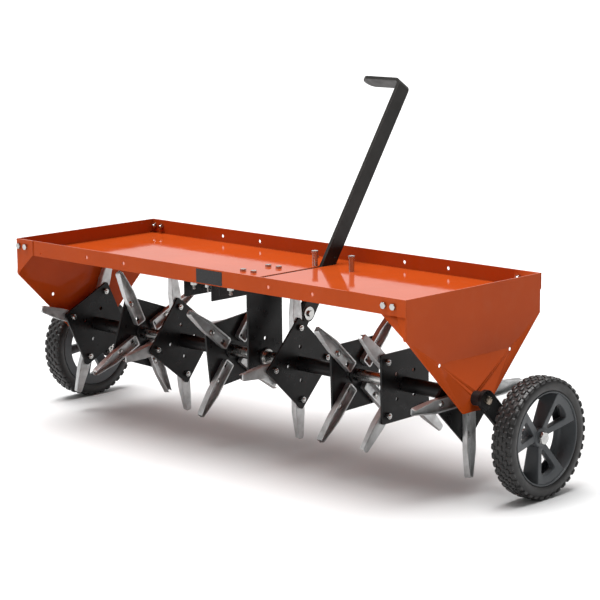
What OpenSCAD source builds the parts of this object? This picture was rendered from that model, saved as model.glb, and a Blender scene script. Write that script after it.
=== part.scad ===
// Tow-behind core aerator. X runs along the tray, Y points to the towing side, Z is up.
// The origin is on the ground, under the middle of the whole machine's outline.

/* [Tray] */
// Length of the tray over its end panels
tray_l = 1219; // [1210:1:1300]
// Depth of the tray over its front and back walls
tray_d = 426; // [410:1:460]
// Height of the tray's rim above the ground
rim_z = 438.5; // [430:0.5:460]
// Height of the front and back walls
wall_h = 35; // [30:1:50]
// Thickness of the folded sheet
sheet_t = 2; // [1.5:0.5:2.5]

/* [Tine gangs] */
// Height of the axle above the ground in transport
axle_z = 207.5; // [200:0.5:215]
// Distance of an inner gang's middle from the machine's middle
inner_gang_x = 192; // [188:1:196]
// Distance of an outer gang's middle from the machine's middle
outer_gang_x = 500; // [496:1:501]
// Distance between the two plates of a gang
gang_w = 165; // [155:1:168]
// Side of a square tine plate
plate_s = 148; // [140:1:155]
// Thickness of a tine plate
plate_t = 5; // [4:0.5:6]
// Radius that the tine tips reach
tine_r = 172; // [165:1:174]
// Height of a tine's side walls
tine_h = 14; // [12:1:15]

/* [Lift] */
// Length of the handle from the axle to the grip
handle_l = 709; // [600:1:800]
// Width of the flat handle bar
handle_w = 39; // [32:1:40]
// Thickness of the flat handle bar
handle_t = 8; // [6:0.5:8]
// Length of the bent grip
grip_l = 124; // [90:1:150]
// Lean of the handle towards the towing side in transport
handle_lean = 33.5; // [30:0.5:34]

/* [Wheels] */
// Outer radius of a tyre
wheel_r = 127; // [120:1:130]
// Width of a tyre
wheel_w = 50; // [45:1:52]
// Distance of a wheel's outer face from the machine's middle
wheel_x = 735; // [730:1:760]
// Distance between the axle and a wheel's centre
arm_l = 114.6; // [110:0.1:120]

/* [Drawbar] */
// Reach of the hitch hole ahead of the axle
hitch_y = 775; // [700:1:850]
// Height of the drawbar at the hitch
hitch_z = 300; // [260:1:330]
// Diameter of the hitch hole
hitch_hole = 16.7; // [13:0.1:20]

/* [Hidden] */
$fn = 64;

// Colours
orange = "#c8501e";
black = "#2a2b2d";
zinc = "#a8a59f";
plastic = "#3c4248";
rubber = "#1d1d1e";
nylon = "#d8d6cc";

// Tray and end panels
end_x = tray_l / 2;
wall_y = tray_d / 2;
floor_z = rim_z - wall_h;
floor_top = floor_z + sheet_t;
panel_low_z = 180;
panel_side_z = 355;
panel_foot_y = wall_y - (panel_side_z - panel_low_z);
panel_hole_y = 111;
panel_hole_z = 292;
flange_w = 61;
wall_hole_x = [228.6, 355.6];
wall_hole_z = 420;
wall_hole_r = 4;
drain_hole_x = -521;
drain_hole_z = 411;
drain_hole_r = 2.5;
pan_notch = flange_w + 10;
flange_step_x = 9;
flange_foot_x = 7;
flange_step_h = 6;
flange_top_z = floor_z + 1.5;
slot_y = 160;
slot_w = 12;
post_x = [55, 167];
post_y = 106;
post_h = 35;
post_r = 6.2;
post_head_r = 7.4;
post_head_h = 6;
label_x = 10;
label_l = 80;
label_h = 30;
label_t = 0.6;

// Fasteners: radius, width of the hexagon across its corners, head and nut heights
bolt_r = 4;
hex_r = 7.3;
head_h = 5.3;
nut_h = 6.7;
bolt_tail = 3;
end_bolts_left = [-598, -573.5];
end_bolts_right = [553, 578];
end_bolt_z = 422;

// Axle line: shaft, bushings, spacers
axle_r = 12.7;
run_fit = 0.08;
bush_bore_r = axle_r + run_fit;
bush_r = 14;
bush_flange_r = 19;
bush_flange_t = 3;
end_gap = 0.3;
spacer_r = 13.7;
spacer_bore_r = axle_r + 0.05;
hub_r = 16;
end_bush_r = 15.5;
end_flange_t = 2;
hanger_t = 6;
hanger_y = 53;
hanger_low_z = 186;
hanger_hole_z = 250;
hanger_hole_r = 4.8;
hanger_pad_x = 38;
hanger_bush_r = 17;
hanger_bush_flange_r = 20.5;
axle_washer_r = 18.5;
axle_washer_t = 2.5;

// Gangs
gang_x = [-outer_gang_x, -inner_gang_x, inner_gang_x, outer_gang_x];
gang_turn = [-19.6, 6.6, 1.6, 46];
gang_half = gang_w / 2;
corner_r = 5;
tine_bolt_rad = 81;
peg_hole_rad = 38;
peg_hole_r = 4.5;
tine_in = 29;
tine_corner = 5;
tine_half = 14;
tine_tip_half = 8.5;
tine_taper_at = 112;
tine_t = 2.8;
tine_tip_chamfer = 3.5;
square_hole = 11;
dome_h = 4.2;
dome_r = 8.2;
gang_bush_l = 18;

// Lift
handle_x = 70;
lever_t = 8;
lever_eye_r = 25;
lever_top = 164;
handle_bolt_at = [118, 164];
handle_hole_at = 263;
handle_hole_y = 8;
handle_hole_r = 3;
washer_r = 15.5;
washer_t = 2.5;
grip_bend_r = 8;
arm_t = 10;
arm_w = 42;
arm_x = 632;
arm_drop = asin((axle_z - wheel_r) / arm_l);
arm_bolt_r = 5;
arm_hex_r = 9.5;
arm_bolt_depth = 30;
stub_r = 8;
stub_hex_r = 13.8;
stub_head_h = 9;
stub_nut_h = 12;
sleeve_r = 13;

// Wheels
rim_r = 98.4;
barrel_t = 5;
wheel_hub_r = 21;
wheel_hub_x = wheel_x - 18;
wheel_hub_in = wheel_x - 55;
rim_inset = 2;
hub_pocket_gap = 2;
spoke_x = wheel_x - 16;
spoke_t = 32;
shoulder = 7;
spoke_turn = 41;
spoke_half = 27;
spoke_root = 12;
window_half = 15;
window_in = 35;
window_rim = 15;
rim_back_r = 76;
rim_back_t = 4;

// Drawbar
rail_t = 4;
rail_leg = 38;
rail_x = 45;
rail_flange_in = 9;
rail_back_y = -200;
rail_bolt_x = 23;
rail_bolt_y = [-190, 190];
hanger_bolt_x = 16.5;
hanger_bolt_y = [-48, 30];
rail_bend_y = 240;
rail_low_y = 560;
rail_end_y = hitch_y - 55;
hitch_back_y = hitch_y - 135;
hitch_t = 6;
hitch_nose_r = 25;
hitch_gap = 18;
hitch_bolt_x = 25;
hitch_bolt_y = [hitch_y - 115, hitch_y - 75];
hitch_shoulder_y = rail_end_y - 10;
hitch_cheek_y = hitch_y + 7;
hitch_step_y = rail_end_y - 8;
hitch_step_l = 14;
hitch_side_gap = 1;
stop_x = 92;
stop_y = -190;
stop_w = 24;
stop_t = 3;
stop_h = 22;

// The whole machine is moved along Y until its outline is centred on the origin
back_reach = wall_y + sheet_t + head_h;
front_reach = hitch_y + hitch_nose_r;
tray_y = (back_reach - front_reach) / 2;

gang_parts = ["hub_tube", "plates", "bushings", "tines", "tine_bolts", "tine_nuts"];

// ---------- placing ----------

// From the tray's middle, on the ground
module on_ground() translate([0, tray_y, 0]) children();

// From the axle's middle
module on_axle() translate([0, tray_y, axle_z]) children();

// Along the leaning handle: local Z runs up the handle from the axle
module on_handle() on_axle() rotate([-handle_lean, 0, 0]) children();

// The same thing on the left and the right
module both_ends() {
    children();
    mirror([1, 0, 0]) children();
}

// A flat profile drawn in (Y, Z), made thick along +X from x0
module slab_x(x0, t) translate([x0, 0, 0]) rotate([90, 0, 90]) linear_extrude(t) children();

// A flat profile drawn in (X, Z), made thick along +Y from y0
module slab_y(y0, t) translate([0, y0 + t, 0]) rotate([90, 0, 0]) linear_extrude(t) children();

// Round bar and tube along X
module bar_x(r, x0, x1) translate([x0, 0, 0]) rotate([0, 90, 0]) cylinder(r = r, h = x1 - x0);

module tube_x(r, bore, x0, x1) {
    difference() {
        bar_x(r, x0, x1);
        bar_x(bore, x0 - 1, x1 + 1);
    }
}

// ---------- fasteners, along local Z ----------

// Hexagon bolt: the head's seat is at z = 0 and the shank goes down
module hex_bolt(grip, r = bolt_r, hex = hex_r, head = head_h) {
    cylinder(r = hex, h = head, $fn = 6);
    translate([0, 0, -grip]) cylinder(r = r, h = grip);
}

// Hexagon nut from z = 0 upwards, bored to the bolt's radius
module hex_nut(r = bolt_r, hex = hex_r, h = nut_h) {
    difference() {
        cylinder(r = hex, h = h, $fn = 6);
        translate([0, 0, -1]) cylinder(r = r, h = h + 2);
    }
}

// ---------- tray ----------

module tray_pan() {
    color(orange) on_ground() difference() {
        union() {
            translate([-end_x + sheet_t, -wall_y, floor_z])
                cube([tray_l - 2 * sheet_t, tray_d, sheet_t]);
            for (y = [-wall_y, wall_y - sheet_t])
                translate([-end_x + sheet_t, y, floor_z])
                    cube([tray_l - sheet_t, sheet_t, wall_h]);
        }
        // corner notches for the right panel's inner flanges
        for (y = [-wall_y + sheet_t, wall_y - 2 * sheet_t])
            translate([end_x - pan_notch, y, floor_z - 1])
                cube([pan_notch + 1, sheet_t, sheet_t + 2]);
        translate([handle_x - slot_w / 2, -slot_y, floor_z - 1])
            cube([slot_w, 2 * slot_y, sheet_t + 2]);
        for (x = wall_hole_x, side = [-1, 1])
            wall_drill(side * x, wall_hole_z, wall_hole_r);
        for (x = concat(end_bolts_left, end_bolts_right))
            wall_drill(x, end_bolt_z, bolt_r);
        translate([drain_hole_x, -wall_y + sheet_t + 1, drain_hole_z])
            rotate([90, 0, 0]) cylinder(r = drain_hole_r, h = sheet_t + 2);
        floor_drills() cylinder(r = bolt_r, h = sheet_t + 2);
        for (x = post_x)
            translate([x, post_y, floor_z - 1]) cylinder(r = post_r, h = sheet_t + 2);
    }
}

// A hole along Y through both long walls and any flange on them
module wall_drill(x, z, r) {
    for (side = [-1, 1])
        translate([x, side * wall_y + 3 * sheet_t, z])
            rotate([90, 0, 0]) cylinder(r = r, h = 6 * sheet_t);
}

// Every place where a bolt goes through the floor
module floor_drills() {
    for (x = [-rail_bolt_x, rail_bolt_x], y = rail_bolt_y)
        translate([x, y, floor_z - 1]) children();
    for (x = [-hanger_bolt_x, hanger_bolt_x], y = hanger_bolt_y)
        translate([x, y, floor_z - 1]) children();
    translate([stop_x, stop_y, floor_z - 1]) children();
}

// Outline of an end panel in (Y, Z), with a straight top and sloping sides
module panel_outline(half) {
    polygon([
        [-half, rim_z], [half, rim_z], [half, panel_side_z],
        [panel_foot_y, panel_low_z], [-panel_foot_y, panel_low_z], [-half, panel_side_z]
    ]);
}

// Outline of a folded end flange in (distance from the end, Z)
module flange_outline(w) {
    polygon([
        [0, rim_z], [w, rim_z], [w, flange_top_z], [flange_step_x, panel_side_z + flange_step_h],
        [flange_foot_x, panel_side_z], [0, panel_side_z]
    ]);
}

// One end panel; face is the outer face of its long-side flanges
module end_panel(face, flange, bolts) {
    difference() {
        union() {
            slab_x(end_x - sheet_t, sheet_t) panel_outline(face);
            for (y = [-face, face - sheet_t])
                slab_y(y, sheet_t) translate([end_x, 0]) mirror([1, 0]) flange_outline(flange);
        }
        translate([0, 0, axle_z]) bar_x(end_bush_r, end_x - 3, end_x + 1);
        for (y = [-panel_hole_y, panel_hole_y])
            translate([0, y, panel_hole_z]) bar_x(wall_hole_r, end_x - 3, end_x + 1);
        for (x = bolts)
            wall_drill(abs(x), end_bolt_z, bolt_r);
    }
}

// The left panel's flanges lap over the outside of the walls
module end_panel_left() {
    color(orange) on_ground() mirror([1, 0, 0])
        end_panel(wall_y + sheet_t, flange_w, end_bolts_left);
}

// The right panel's flanges tuck behind the walls
module end_panel_right() {
    color(orange) on_ground()
        end_panel(wall_y - sheet_t, flange_w + 8, end_bolts_right);
}

// Corner bolts: the left ones also go through the outer flange
module corner_places() {
    for (side = [-1, 1]) {
        for (x = end_bolts_left)
            translate([x, side * (wall_y + sheet_t), end_bolt_z]) rotate([side * -90, 0, 0])
                children();
        for (x = end_bolts_right)
            translate([x, side * wall_y, end_bolt_z]) rotate([side * -90, 0, 0]) children();
    }
}

module tray_end_bolts() {
    color(zinc) on_ground() corner_places() hex_bolt(2 * sheet_t + nut_h + bolt_tail);
}

module tray_end_nuts() {
    color(zinc) on_ground() corner_places()
        translate([0, 0, -2 * sheet_t - nut_h]) hex_nut();
}

// Flanged bushing in each end panel; its long nose reaches the wheel arm
module end_bushings() {
    color(black) on_axle() both_ends() {
        tube_x(end_bush_r, bush_bore_r, end_x - sheet_t, arm_x - end_gap);
        tube_x(bush_flange_r, bush_bore_r, end_x - sheet_t - end_flange_t, end_x - sheet_t);
    }
}

module tie_down_posts() {
    color(zinc) on_ground() for (x = post_x) translate([x, post_y, floor_z]) {
        cylinder(r = post_r, h = sheet_t + post_h - post_head_h);
        translate([0, 0, sheet_t + post_h - post_head_h])
            cylinder(r = post_head_r, h = post_head_h);
    }
}

module label_plate() {
    color(black) on_ground()
        translate([label_x, -wall_y - label_t, floor_top])
            cube([label_l, label_t, label_h]);
}

// ---------- hanger ----------

module center_hanger() {
    color(black) on_ground() difference() {
        union() {
            slab_x(-hanger_t / 2, hanger_t)
                translate([-hanger_y, hanger_low_z])
                    square([2 * hanger_y, floor_z - rail_t - hanger_low_z]);
            translate([-hanger_pad_x, -hanger_y, floor_z - rail_t - hanger_t])
                cube([2 * hanger_pad_x, 2 * hanger_y, hanger_t]);
        }
        translate([0, 0, axle_z]) bar_x(hanger_bush_r, -hanger_t, hanger_t);
        translate([0, 0, hanger_hole_z]) bar_x(hanger_hole_r, -hanger_t, hanger_t);
        for (x = [-hanger_bolt_x, hanger_bolt_x], y = hanger_bolt_y)
            translate([x, y, floor_z - rail_t - hanger_t - 1])
                cylinder(r = bolt_r, h = hanger_t + 2);
    }
}

module hanger_bushing() {
    color(black) on_axle() {
        tube_x(hanger_bush_r, bush_bore_r, -hanger_t / 2, hanger_t / 2);
        tube_x(hanger_bush_flange_r, bush_bore_r, hanger_t / 2, hanger_t / 2 + bush_flange_t);
    }
}

// Bolts through the floor: rails, hanger and handle stop
module floor_bolts() {
    color(zinc) on_ground() floor_drills()
        translate([0, 0, sheet_t + 1])
            hex_bolt(sheet_t + rail_t + hanger_t + nut_h + bolt_tail);
}

module floor_nuts() {
    color(zinc) on_ground() {
        for (x = [-rail_bolt_x, rail_bolt_x], y = rail_bolt_y)
            translate([x, y, floor_z - rail_t - nut_h]) hex_nut();
        for (x = [-hanger_bolt_x, hanger_bolt_x], y = hanger_bolt_y)
            translate([x, y, floor_z - rail_t - hanger_t - nut_h]) hex_nut();
        translate([stop_x, stop_y, floor_z - stop_t - nut_h]) hex_nut();
    }
}

// Small angle under the floor at the back end of the handle's slot
module handle_stop() {
    color(black) on_ground() difference() {
        union() {
            translate([stop_x - stop_w, stop_y - stop_w / 2, floor_z - stop_t])
                cube([stop_w * 1.5, stop_w, stop_t]);
            translate([stop_x - stop_w, stop_y - stop_w / 2, floor_z - stop_h])
                cube([stop_t, stop_w, stop_h]);
        }
        translate([stop_x, stop_y, floor_z - stop_t - 1]) cylinder(r = bolt_r, h = stop_t + 2);
    }
}

// ---------- drawbar ----------

// Side view of a rail in (Y, Z): level under the tray, down to the hitch, level again
module rail_side(depth) {
    line = [
        [rail_back_y, floor_z], [rail_bend_y, floor_z],
        [rail_low_y, hitch_z], [rail_end_y, hitch_z]
    ];
    under = [for (i = [len(line) - 1 : -1 : 0]) line[i] - [0, depth]];
    polygon(concat(line, under));
}

module drawbar_rail() {
    difference() {
        union() {
            slab_x(rail_x - rail_t, rail_t) rail_side(rail_leg);
            slab_x(rail_flange_in, rail_x - rail_flange_in) rail_side(rail_t);
        }
        for (y = rail_bolt_y)
            translate([rail_bolt_x, y, floor_z - rail_t - 1]) cylinder(r = bolt_r, h = rail_t + 2);
        for (y = hanger_bolt_y)
            translate([hanger_bolt_x, y, floor_z - rail_t - 1])
                cylinder(r = bolt_r, h = rail_t + 2);
        for (y = hitch_bolt_y)
            translate([hitch_bolt_x, y, hitch_z - rail_t - 1])
                cylinder(r = bolt_r, h = rail_t + 2);
    }
}

module drawbar_rail_left() {
    color(black) on_ground() mirror([1, 0, 0]) drawbar_rail();
}

module drawbar_rail_right() {
    color(black) on_ground() drawbar_rail();
}

// Plan of a hitch plate: as wide as half at the back, with a round nose
module hitch_plan(half, back) {
    polygon([
        [-half, back], [half, back], [half, hitch_shoulder_y],
        [hitch_nose_r - 1, hitch_cheek_y], [1 - hitch_nose_r, hitch_cheek_y],
        [-half, hitch_shoulder_y]
    ]);
    translate([0, hitch_y]) circle(r = hitch_nose_r);
}

module hitch_drills(low, high) {
    translate([0, hitch_y, low]) cylinder(r = hitch_hole / 2, h = high - low);
    for (x = [-hitch_bolt_x, hitch_bolt_x], y = hitch_bolt_y)
        translate([x, y, low]) cylinder(r = bolt_r, h = high - low);
}

module hitch_plate_upper() {
    color(black) on_ground() difference() {
        translate([0, 0, hitch_z]) linear_extrude(hitch_t) hitch_plan(rail_x, hitch_back_y);
        hitch_drills(hitch_z - 1, hitch_z + hitch_t + 1);
    }
}

// The lower plate steps down ahead of the rails to leave room for the tractor's bar
module hitch_plate_lower() {
    top = hitch_z - rail_t;
    nose_top = hitch_z - hitch_gap;
    step = [
        [hitch_back_y, top], [hitch_step_y, top], [hitch_step_y + hitch_step_l, nose_top],
        [front_reach, nose_top], [front_reach, nose_top - hitch_t],
        [hitch_step_y + hitch_step_l - 2, nose_top - hitch_t], [hitch_step_y - 2, top - hitch_t],
        [hitch_back_y, top - hitch_t]
    ];
    half = rail_x - rail_t - hitch_side_gap;
    color(black) on_ground() difference() {
        intersection() {
            slab_x(-half, 2 * half) polygon(step);
            translate([0, 0, nose_top - hitch_t - 1])
                linear_extrude(hitch_gap + hitch_t + 2) hitch_plan(half, hitch_back_y);
        }
        hitch_drills(nose_top - hitch_t - 1, hitch_z);
    }
}

module hitch_bolts() {
    color(zinc) on_ground() for (x = [-hitch_bolt_x, hitch_bolt_x], y = hitch_bolt_y)
        translate([x, y, hitch_z + hitch_t])
            hex_bolt(2 * hitch_t + rail_t + nut_h + bolt_tail);
}

module hitch_nuts() {
    color(zinc) on_ground() for (x = [-hitch_bolt_x, hitch_bolt_x], y = hitch_bolt_y)
        translate([x, y, hitch_z - rail_t - hitch_t - nut_h]) hex_nut();
}

// ---------- axle line ----------

module axle_shaft() {
    color(zinc) on_axle() difference() {
        bar_x(axle_r, -arm_x, arm_x);
        both_ends() bar_x(arm_bolt_r, arm_x - arm_bolt_depth, arm_x + 1);
    }
}

// Zinc tubes that keep the gangs apart, and one washer beside the hanger
module axle_spacers() {
    gang_reach = gang_half + plate_t / 2 + bush_flange_t;
    panel_in = end_x - sheet_t - end_flange_t - end_gap;
    lever_in = handle_x - handle_t / 2 - lever_t;
    lever_out = handle_x - handle_t / 2;
    hanger_out = hanger_t / 2 + bush_flange_t + end_gap;
    color(zinc) on_axle() {
        both_ends() {
            tube_x(spacer_r, spacer_bore_r, outer_gang_x + gang_reach + end_gap, panel_in);
            tube_x(spacer_r, spacer_bore_r, inner_gang_x + gang_reach + end_gap,
                outer_gang_x - gang_reach - end_gap);
        }
        tube_x(spacer_r, spacer_bore_r, -inner_gang_x + gang_reach + end_gap,
            -hanger_t / 2 - end_gap);
        tube_x(axle_washer_r, spacer_bore_r, hanger_out, hanger_out + axle_washer_t);
        tube_x(spacer_r, spacer_bore_r, hanger_out + axle_washer_t, lever_in);
        tube_x(spacer_r, spacer_bore_r, lever_out, inner_gang_x - gang_reach - end_gap);
    }
}

// ---------- lift ----------

// Flat bar with round ends from the axle to a wheel, in (Y, Z)
module arm_outline() {
    rotate(-arm_drop) {
        translate([0, -arm_w / 2]) square([arm_l, arm_w]);
        circle(d = arm_w);
        translate([arm_l, 0]) circle(d = arm_w);
    }
}

module wheel_arm() {
    difference() {
        slab_x(arm_x, arm_t) arm_outline();
        bar_x(arm_bolt_r, arm_x - 1, arm_x + arm_t + 1);
        on_wheel() bar_x(stub_r, arm_x - 1, arm_x + arm_t + 1);
    }
}

// From the axle to a wheel's centre
module on_wheel() rotate([-arm_drop, 0, 0]) translate([0, arm_l, 0]) children();

module wheel_arm_left() {
    color(black) on_axle() mirror([1, 0, 0]) wheel_arm();
}

module wheel_arm_right() {
    color(black) on_axle() wheel_arm();
}

module arm_bolts() {
    color(zinc) on_axle() both_ends()
        translate([arm_x + arm_t, 0, 0]) rotate([0, 90, 0])
            hex_bolt(arm_t + arm_bolt_depth, arm_bolt_r, arm_hex_r);
}

// Lever welded to the axle, up to the handle's lower end
module lift_lever() {
    color(black) on_handle() difference() {
        slab_x(handle_x - handle_t / 2 - lever_t, lever_t) {
            circle(r = lever_eye_r);
            translate([-handle_w / 2, 0]) square([handle_w, lever_top]);
            translate([0, lever_top]) circle(d = handle_w);
        }
        bar_x(axle_r, 0, handle_x);
        for (z = handle_bolt_at) translate([0, 0, z]) bar_x(bolt_r, 0, handle_x);
    }
}

module lift_handle() {
    low = handle_bolt_at[0];
    outer = grip_bend_r + handle_t;
    bend_x = handle_x - handle_t / 2 - grip_bend_r;
    grip_end = handle_x + handle_t / 2 - grip_l;
    color(black) on_handle() difference() {
        union() {
            slab_x(handle_x - handle_t / 2, handle_t) {
                translate([0, low]) circle(d = handle_w);
                translate([-handle_w / 2, low]) square([handle_w, handle_l - outer - low]);
            }
            translate([bend_x, 0, handle_l - outer]) rotate([90, 0, 0])
                rotate_extrude(angle = 90)
                    translate([grip_bend_r, -handle_w / 2]) square([handle_t, handle_w]);
            translate([0, 0, handle_l - handle_t]) linear_extrude(handle_t) {
                translate([grip_end + handle_w / 2, -handle_w / 2])
                    square([bend_x - grip_end - handle_w / 2, handle_w]);
                translate([grip_end + handle_w / 2, 0]) circle(d = handle_w);
            }
        }
        for (z = handle_bolt_at) translate([0, 0, z]) bar_x(bolt_r, 0, 2 * handle_x);
        translate([0, handle_hole_y, handle_hole_at]) bar_x(handle_hole_r, 0, 2 * handle_x);
    }
}

module handle_bolts() {
    color(zinc) on_handle() for (z = handle_bolt_at)
        translate([handle_x + handle_t / 2 + washer_t, 0, z]) rotate([0, 90, 0])
            hex_bolt(washer_t + handle_t + lever_t + nut_h + bolt_tail);
}

module handle_nuts() {
    color(zinc) on_handle() for (z = handle_bolt_at)
        translate([handle_x - handle_t / 2 - lever_t - nut_h, 0, z]) rotate([0, 90, 0]) hex_nut();
}

module handle_washers() {
    color(zinc) on_handle() for (z = handle_bolt_at) translate([0, 0, z])
        tube_x(washer_r, bolt_r, handle_x + handle_t / 2, handle_x + handle_t / 2 + washer_t);
}

// ---------- wheels ----------

module wheel_sleeves() {
    color(zinc) on_axle() both_ends() on_wheel()
        tube_x(sleeve_r, stub_r, arm_x + arm_t, wheel_hub_in - end_gap);
}

module wheel_bolts() {
    seat = wheel_hub_x + end_gap;
    color(zinc) on_axle() both_ends() on_wheel() translate([seat, 0, 0]) rotate([0, 90, 0])
        hex_bolt(seat - arm_x + stub_nut_h + bolt_tail, stub_r, stub_hex_r, stub_head_h);
}

module wheel_nuts() {
    color(zinc) on_axle() both_ends() on_wheel()
        translate([arm_x - stub_nut_h, 0, 0]) rotate([0, 90, 0])
            hex_nut(stub_r, stub_hex_r, stub_nut_h);
}

module tyre() {
    on_wheel() translate([wheel_x - wheel_w, 0, 0]) rotate([0, 90, 0]) rotate_extrude($fn = 96)
        polygon([
            [rim_r, 0], [wheel_r - shoulder, 0], [wheel_r, shoulder],
            [wheel_r, wheel_w - shoulder], [wheel_r - shoulder, wheel_w], [rim_r, wheel_w]
        ]);
}

// Piece of a ring between two radii and two angles
function ring_part(r0, r1, a0, a1, steps = 12) = concat(
    [for (i = [0 : steps]) r0 * [cos(a0 + (a1 - a0) * i / steps), sin(a0 + (a1 - a0) * i / steps)]],
    [for (i = [steps : -1 : 0]) r1 * [cos(a0 + (a1 - a0) * i / steps), sin(a0 + (a1 - a0) * i / steps)]]
);

// Three V-shaped spokes, each a wedge with a window in it
module spokes() {
    barrel_in = rim_r - barrel_t;
    for (i = [0 : 2]) rotate(spoke_turn + 120 * i) difference() {
        polygon(concat([[0, spoke_root], [0, -spoke_root]], [for (a = [-spoke_half : 6 : spoke_half])
            (barrel_in + 1) * [cos(a), sin(a)]]));
        polygon(ring_part(window_in, barrel_in - window_rim, -window_half, window_half));
    }
}

module rim() {
    back = wheel_x - wheel_w + rim_inset;
    on_wheel() difference() {
        union() {
            tube_x(rim_r, rim_r - barrel_t, back, wheel_x - rim_inset);
            tube_x(rim_r - 1, rim_back_r, back, back + rim_back_t);
            bar_x(wheel_hub_r, wheel_hub_in, wheel_hub_x);
            slab_x(spoke_x - spoke_t, spoke_t) spokes();
        }
        bar_x(stub_r + run_fit, wheel_hub_in - 1, wheel_x);
        bar_x(stub_hex_r + hub_pocket_gap, wheel_hub_x, wheel_x);
    }
}

module tyre_left() {
    color(rubber) on_axle() mirror([1, 0, 0]) tyre();
}

module tyre_right() {
    color(rubber) on_axle() tyre();
}

module rim_left() {
    color(plastic) on_axle() mirror([1, 0, 0]) rim();
}

module rim_right() {
    color(plastic) on_axle() rim();
}

// ---------- tine gangs ----------

// From gang i's middle, turned to where it stands at rest
module on_gang(i) on_axle() translate([gang_x[i], 0, 0]) rotate([gang_turn[i], 0, 0]) children();

// At each plate's middle plane, with +X pointing out of the gang;
// the right plate stands an eighth of a turn ahead of the left one
module on_plates() {
    for (right = [0, 1])
        mirror([1 - right, 0, 0]) rotate([45 * right, 0, 0]) translate([gang_half, 0, 0]) children();
}

// At each of a plate's four corners, with +Y pointing to the corner
module on_corners() {
    for (k = [0 : 3]) rotate([90 * k, 0, 0]) children();
}

module plate_outline() {
    inner = plate_s / 2 - corner_r;
    rotate(45) {
        square([plate_s, 2 * inner], center = true);
        square([2 * inner, plate_s], center = true);
        for (x = [-inner, inner], y = [-inner, inner]) translate([x, y]) circle(r = corner_r);
    }
}

module gang_hub_tube(i) {
    color(black) on_gang(i)
        tube_x(hub_r, bush_r, plate_t / 2 - gang_half, gang_half - plate_t / 2);
}

module gang_plates(i) {
    color(black) on_gang(i) on_plates() difference() {
        slab_x(-plate_t / 2, plate_t) plate_outline();
        bar_x(bush_r, -plate_t, plate_t);
        on_corners() {
            translate([0, tine_bolt_rad, 0]) bar_x(bolt_r, -plate_t, plate_t);
            translate([0, peg_hole_rad, 0]) bar_x(peg_hole_r, -plate_t, plate_t);
        }
    }
}

module gang_bushings(i) {
    color(nylon) on_gang(i) on_plates() {
        tube_x(bush_r, bush_bore_r, -plate_t / 2 - gang_bush_l, plate_t / 2);
        tube_x(bush_flange_r, bush_bore_r, plate_t / 2, plate_t / 2 + bush_flange_t);
    }
}

// Outline of a tine from its square inner end to its tip; inset shrinks it evenly
module tine_outline(inset, tip) {
    half = tine_half - inset;
    tip_half = tine_tip_half - inset;
    heel = tine_in + tine_corner;
    flat = tine_half - tine_corner;
    for (side = [-flat, flat]) translate([heel, side]) circle(r = tine_corner - inset);
    polygon([
        [tine_in + inset, -flat], [heel, -half], [tine_taper_at, -half],
        [tip - tine_tip_chamfer, -tip_half], [tip, tine_tip_chamfer - tip_half],
        [tip, tip_half - tine_tip_chamfer], [tip - tine_tip_chamfer, tip_half],
        [tine_taper_at, half], [heel, half], [tine_in + inset, flat]
    ]);
}

// Stamped tine: a flat web against the plate with a wall folded up round it, open at the tip
module tine() {
    difference() {
        slab_x(0, tine_h) tine_outline(0, tine_r);
        slab_x(tine_t, tine_h) tine_outline(tine_t, tine_r + 10);
        translate([-1, peg_hole_rad - square_hole / 2, -square_hole / 2])
            cube([tine_t + 2, square_hole, square_hole]);
        translate([0, tine_bolt_rad, 0]) bar_x(bolt_r, -1, tine_t + 1);
    }
}

module gang_tines(i) {
    color(zinc) on_gang(i) on_plates() on_corners() translate([plate_t / 2, 0, 0]) tine();
}

// Domed bolts through tine and plate
module gang_tine_bolts(i) {
    grip = tine_t + plate_t + nut_h + bolt_tail;
    color(zinc) on_gang(i) on_plates() on_corners()
        translate([plate_t / 2 + tine_t, tine_bolt_rad, 0]) rotate([0, 90, 0]) {
            cylinder(r1 = dome_r, r2 = dome_r / 2, h = dome_h);
            translate([0, 0, -grip]) cylinder(r = bolt_r, h = grip);
        }
}

module gang_tine_nuts(i) {
    color(zinc) on_gang(i) on_plates() on_corners()
        translate([-plate_t / 2 - nut_h, tine_bolt_rad, 0]) rotate([0, 90, 0]) hex_nut();
}

tray_pan();
end_panel_left();
end_panel_right();
end_bushings();
tray_end_bolts();
tray_end_nuts();
center_hanger();
hanger_bushing();
floor_bolts();
floor_nuts();
tie_down_posts();
handle_stop();
label_plate();
drawbar_rail_left();
drawbar_rail_right();
hitch_plate_upper();
hitch_plate_lower();
hitch_bolts();
hitch_nuts();
axle_shaft();
axle_spacers();
wheel_arm_left();
wheel_arm_right();
arm_bolts();
lift_lever();
lift_handle();
handle_bolts();
handle_nuts();
handle_washers();
wheel_sleeves();
wheel_bolts();
wheel_nuts();
tyre_left();
rim_left();
tyre_right();
rim_right();
gang_hub_tube(0);  // gang_1_hub_tube
gang_plates(0);  // gang_1_plates
gang_bushings(0);  // gang_1_bushings
gang_tines(0);  // gang_1_tines
gang_tine_bolts(0);  // gang_1_tine_bolts
gang_tine_nuts(0);  // gang_1_tine_nuts
gang_hub_tube(1);  // gang_2_hub_tube
gang_plates(1);  // gang_2_plates
gang_bushings(1);  // gang_2_bushings
gang_tines(1);  // gang_2_tines
gang_tine_bolts(1);  // gang_2_tine_bolts
gang_tine_nuts(1);  // gang_2_tine_nuts
gang_hub_tube(2);  // gang_3_hub_tube
gang_plates(2);  // gang_3_plates
gang_bushings(2);  // gang_3_bushings
gang_tines(2);  // gang_3_tines
gang_tine_bolts(2);  // gang_3_tine_bolts
gang_tine_nuts(2);  // gang_3_tine_nuts
gang_hub_tube(3);  // gang_4_hub_tube
gang_plates(3);  // gang_4_plates
gang_bushings(3);  // gang_4_bushings
gang_tines(3);  // gang_4_tines
gang_tine_bolts(3);  // gang_4_tine_bolts
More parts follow.
